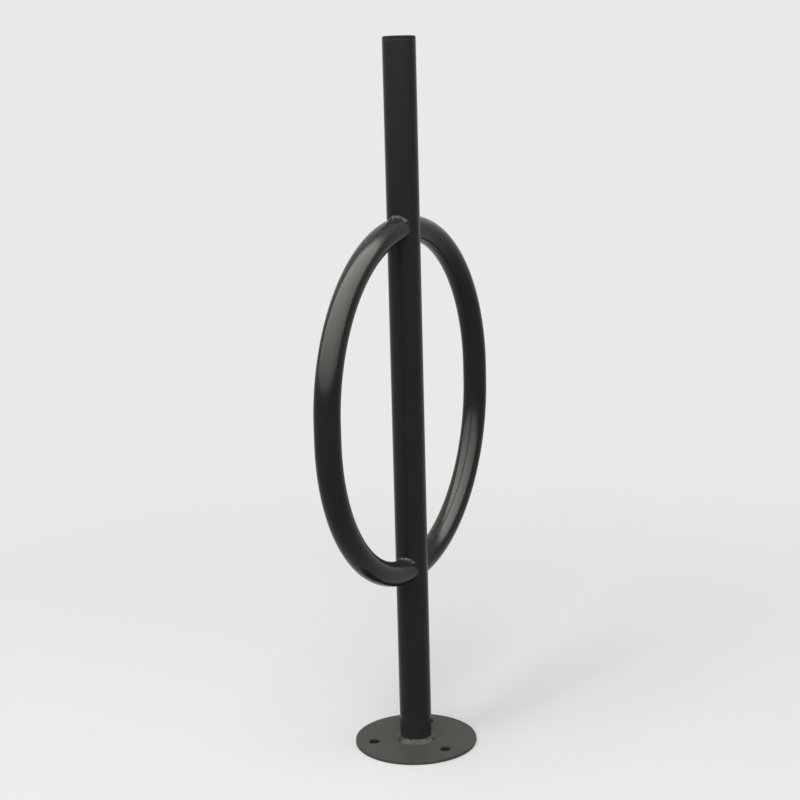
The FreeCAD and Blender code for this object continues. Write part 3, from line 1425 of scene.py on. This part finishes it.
@dataclass(frozen=True)
class GlowDome:
    """Dome of soft light that shows only in the coat's gloss.

    It is brightest overhead, and dim behind the rack and at the right. Each pair of limits is a
    share of the direction, where the glow goes from dim to full.
    """

    radius: float = 9.0  # metres
    colour: Colour = (1.0, 0.985, 0.93)
    base: float = 0.85  # strength that the climb starts from
    climb: float = 17.0  # what the strength gains up to overhead
    upward: Limits = (0.15, 0.28)
    forward: Limits = (-0.33, -0.19)  # towards the camera
    leftward: Limits = (-0.93, -0.83)
    dim: float = 0.034  # as a share
    steps: int = 48

    def build(self, camera_bearing: float) -> None:
        """Makes the dome.

        Args:
            camera_bearing: The camera's bearing in radians, from -Y towards -X.
        """
        shell = bmesh.new()
        around = 2 * self.steps
        bmesh.ops.create_uvsphere(shell, u_segments=around, v_segments=self.steps, radius=self.radius)
        mesh = bpy.data.meshes.new("glow_dome")
        shell.to_mesh(mesh)
        shell.free()
        mesh.materials.append(self.material(camera_bearing))
        dome = new_object("glow_dome", mesh)
        dome.visible_camera = False
        dome.visible_diffuse = False
        dome.visible_transmission = False
        dome.visible_shadow = False

    def material(self, camera_bearing: float) -> bpy.types.Material:
        """Clear film that glows, so that the surroundings show through it.

        Args:
            camera_bearing: The camera's bearing in radians, from -Y towards -X.

        Returns:
            The material.
        """
        material, graph = new_material("dome glow")
        graph.tree.nodes.clear()
        direction = graph.vector("NORMALIZE", graph.add("ShaderNodeTexCoord").outputs["Object"])
        towards_camera = Vector((-math.sin(camera_bearing), -math.cos(camera_bearing), 0.0))
        left = Vector((-math.cos(camera_bearing), math.sin(camera_bearing), 0.0))

        def along(axis: Vector) -> Socket:
            """Share of the direction along an axis."""
            return graph.vector("DOT_PRODUCT", direction, axis, output="Value")

        in_front = graph.step(along(towards_camera), *self.forward)
        at_left = graph.step(along(left), *self.leftward)
        open_side = graph.maths("MULTIPLY", in_front, at_left)
        share = graph.maths("MULTIPLY_ADD", open_side, 1.0 - self.dim, self.dim)
        upward = along(UP)
        level = graph.maths("MULTIPLY_ADD", upward, self.climb, self.base)
        above = graph.step(upward, *self.upward)
        strength = graph.maths("MULTIPLY", graph.maths("MULTIPLY", level, above), share)

        clear = graph.add("ShaderNodeBsdfTransparent").outputs["BSDF"]
        light = {"Color": opaque(self.colour), "Strength": strength}
        glow = graph.call("ShaderNodeEmission", light, "Emission")
        film = graph.add("ShaderNodeAddShader")
        graph.feed_all(film.inputs, (clear, glow))
        graph.surface(film.outputs["Shader"])
        return material


@dataclass
class Studio:
    """Pale floor, soft light and camera. Lengths are in metres."""

    target: Vector = field(default_factory=lambda: Vector((0.0, 0.0, 0.45)))  # what the key lamp faces
    camera: RackCamera = RackCamera()
    pale: Colour = (0.8148, 0.8148, 0.8148)
    hole_shade: Colour = (0.02, 0.021, 0.014)  # painted shade: dark floor under the plate, seen through its anchor holes
    # radius of the painted shade under the plate
    hole_shade_reach: float = 0.072
    sky_strength: float = 0.55  # as a light
    floor_reach: float = 60.0
    floor_drop: float = 0.0002  # below the plate's underside
    fade: Limits = (0.5, 1.6)  # from the rack, where the floor turns into the background's own colour
    key: Softbox = Softbox(
        "key_softbox", bearing=25.0, elevation=58.0, distance=6.0, width=5.2, height=4.4, radiance=4.45
    )
    dome: GlowDome = GlowDome()

    def build(self) -> None:
        """Sets up camera, floor, surroundings and lamps."""
        bpy.context.scene.view_settings.view_transform = "Standard"
        bpy.context.scene.camera = self.camera.build()
        self.floor()
        self.surroundings()
        self.key.build(self.camera.bearing, self.target)
        self.dome.build(self.camera.bearing)

    @staticmethod
    def seen(graph: Graph) -> Socket:
        """Finds the rays that show the background: from the camera, from gloss and through glass.

        Args:
            graph: Graph of the background's material or world.

        Returns:
            1 for such rays and 0 for others.
        """
        path = graph.add("ShaderNodeLightPath")
        seen = graph.maths("MAXIMUM", path.outputs["Is Camera Ray"], path.outputs["Is Glossy Ray"])
        return graph.maths("MAXIMUM", seen, path.outputs["Is Transmission Ray"])

    def floor(self) -> None:
        """Makes the floor."""
        reach, level = self.floor_reach, -self.floor_drop
        corners = [Vector((x * reach, y * reach, level)) for x, y in ((-1, -1), (1, -1), (1, 1), (-1, 1))]
        plane = new_object("floor", mesh_from("floor", corners, faces=[(0, 1, 2, 3)]))
        plane.data.materials.append(self.floor_material())

    def floor_material(self) -> bpy.types.Material:
        """Matt paint that fades into the background's own colour away from the rack, with painted shade
        under the plate.

        Returns:
            The material.
        """
        material, graph = new_material("pale floor")
        graph.tree.nodes.clear()
        place = graph.add("ShaderNodeTexCoord").outputs["Object"]
        distance = graph.vector("LENGTH", place, output="Value")
        faded = graph.maths("MULTIPLY", graph.step(distance, *self.fade), self.seen(graph))
        # painted shade: the floor is dark under the plate, so that its anchor holes look shaded
        open_floor = graph.maths("GREATER_THAN", distance, self.hole_shade_reach)
        paint = graph.mix_colour(open_floor, opaque(self.hole_shade), opaque(self.pale))
        matt = graph.call("ShaderNodeBsdfDiffuse", {"Color": paint}, "BSDF")
        glow = graph.call("ShaderNodeEmission", {"Color": opaque(self.pale)}, "Emission")
        mixed = graph.add("ShaderNodeMixShader")
        graph.feed_all(mixed.inputs, (faded, matt, glow))
        graph.surface(mixed.outputs["Shader"])
        return material

    def surroundings(self) -> None:
        """Makes the world: pale where it is seen, and dimmer as a light."""
        world = bpy.data.worlds.new("pale surroundings")
        bpy.context.scene.world = world
        world.use_nodes = True
        graph = Graph(world.node_tree)
        background = graph.tree.nodes["Background"]
        background.inputs["Color"].default_value = opaque(self.pale)
        shown = self.seen(graph)
        strength = graph.maths("MULTIPLY_ADD", shown, 1.0 - self.sky_strength, self.sky_strength)
        graph.feed(background.inputs["Strength"], strength)


def main() -> None:
    """Builds the rack and its studio."""
    logging.basicConfig(level=logging.INFO, format="%(name)s: %(message)s")
    sizes = RackSizes.from_frame()
    effects, trees = Effects(), Trees()
    tube_coat = TUBE_COAT.material(effects)
    post_coat = POST_COAT.material(effects)
    cap_coat = CAP_COAT.material(effects)
    plate_coat = PLATE_COAT.material(effects)
    bead_coat = BEAD_COAT.material(effects)
    foot_bead_coat = FOOT_BEAD_COAT.material(effects)

    Studio().build()
    welds = Welds(sizes)
    pieces = [BasePlate(sizes).build(trees, plate_coat)]
    pieces += Post(sizes).build(post_coat, cap_coat, bead_coat)
    pieces += [Hoop(sizes, side).build(trees, tube_coat) for side in Side]
    pieces.append(welds.foot().build(trees, foot_bead_coat))
    pieces += [bead.build(trees, bead_coat) for bead in welds.hoop_ends()]
    for piece in pieces:
        piece.data.calc_loop_triangles()
        LOG.info("%s: %d triangles", piece.name, len(piece.data.loop_triangles))


if __name__ == "__main__":
    main()
